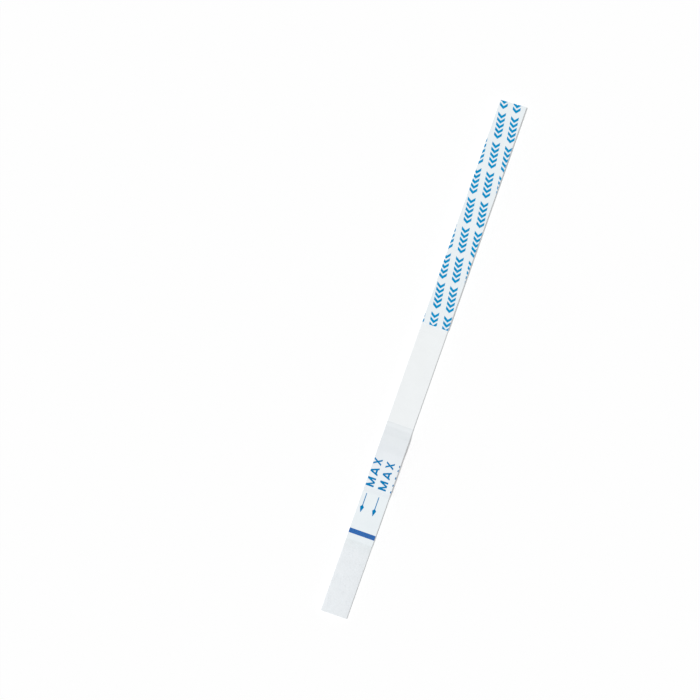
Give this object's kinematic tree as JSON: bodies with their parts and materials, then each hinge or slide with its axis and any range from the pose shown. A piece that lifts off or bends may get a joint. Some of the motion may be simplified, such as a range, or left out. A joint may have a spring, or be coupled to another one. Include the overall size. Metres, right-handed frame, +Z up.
{
  "type": "lateral flow test strip",
  "caption": "Slim dip test strip: absorbent pads and a membrane laminated on a plastic card, with printed films that mark the dip limit and the handle.",
  "frame": {"origin": "middle of the backing card's underside, on the surface that the strip lies on", "axes": "+X along the strip from the dip end to the handle, +Y across it, +Z up through the layers"},
  "size_m": [0.08, 0.004, 0.001],
  "materials": {
    "card_plastic": "satin white plastic sheet",
    "membrane_sheet": "smooth matte porous sheet",
    "conjugate_fibre": "soft fibre mat, faintly tinted",
    "sample_fibre": "soft matte fibre pad",
    "wick_fibre": "soft matte blotting paper",
    "dip_film": "thin white satin film",
    "handle_film": "thin white satin film",
    "line_ink": "printed deep blue ink",
    "limit_ink": "printed blue ink",
    "handle_ink": "printed teal blue ink"
  },
  "bodies": {
    "root": {"backing_card": "card_plastic", "membrane": "membrane_sheet", "conjugate_pad": "conjugate_fibre", "sample_pad": "sample_fibre", "absorbent_pad": "wick_fibre", "dip_film": "dip_film", "handle_film": "handle_film", "limit_line": "line_ink", "limit_arrows": "limit_ink", "limit_lettering": "limit_ink", "handle_print": "handle_ink"}
  },
  "joints": []
}
